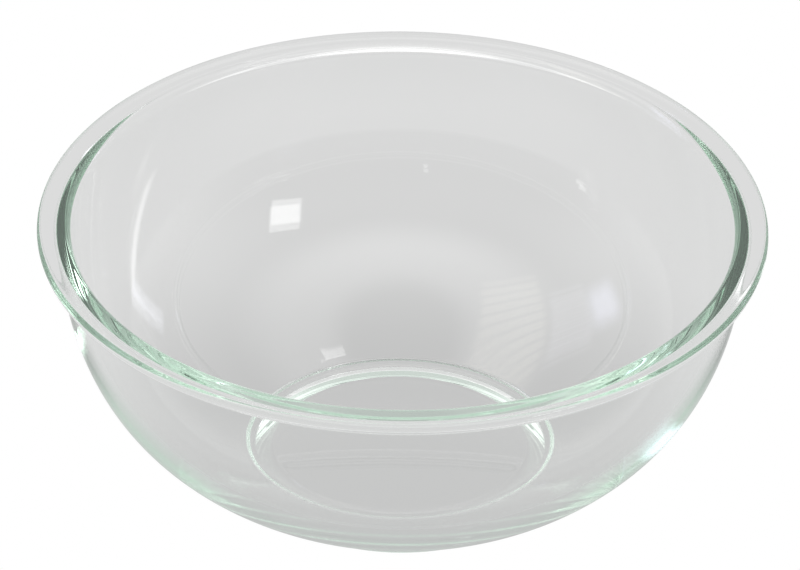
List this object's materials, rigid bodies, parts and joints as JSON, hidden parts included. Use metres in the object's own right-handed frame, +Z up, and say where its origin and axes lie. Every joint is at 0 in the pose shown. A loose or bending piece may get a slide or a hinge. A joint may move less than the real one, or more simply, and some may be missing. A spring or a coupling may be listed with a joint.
{
  "type": "prep bowl",
  "caption": "Clear pressed-glass prep bowl with a deep round body, a flat rim collar that stands out past the wall, a flat floor and a low foot ring.",
  "frame": {"origin": "centre of the foot ring's face, on the surface that the bowl stands on", "axes": "+Z up along the bowl's own axis; the bowl is round, so +X and +Y are any two square directions"},
  "size_m": [0.268, 0.268, 0.108],
  "materials": {
    "pressed_glass": "gloss"
  },
  "bodies": {
    "root": {"bowl": "pressed_glass"}
  },
  "joints": []
}
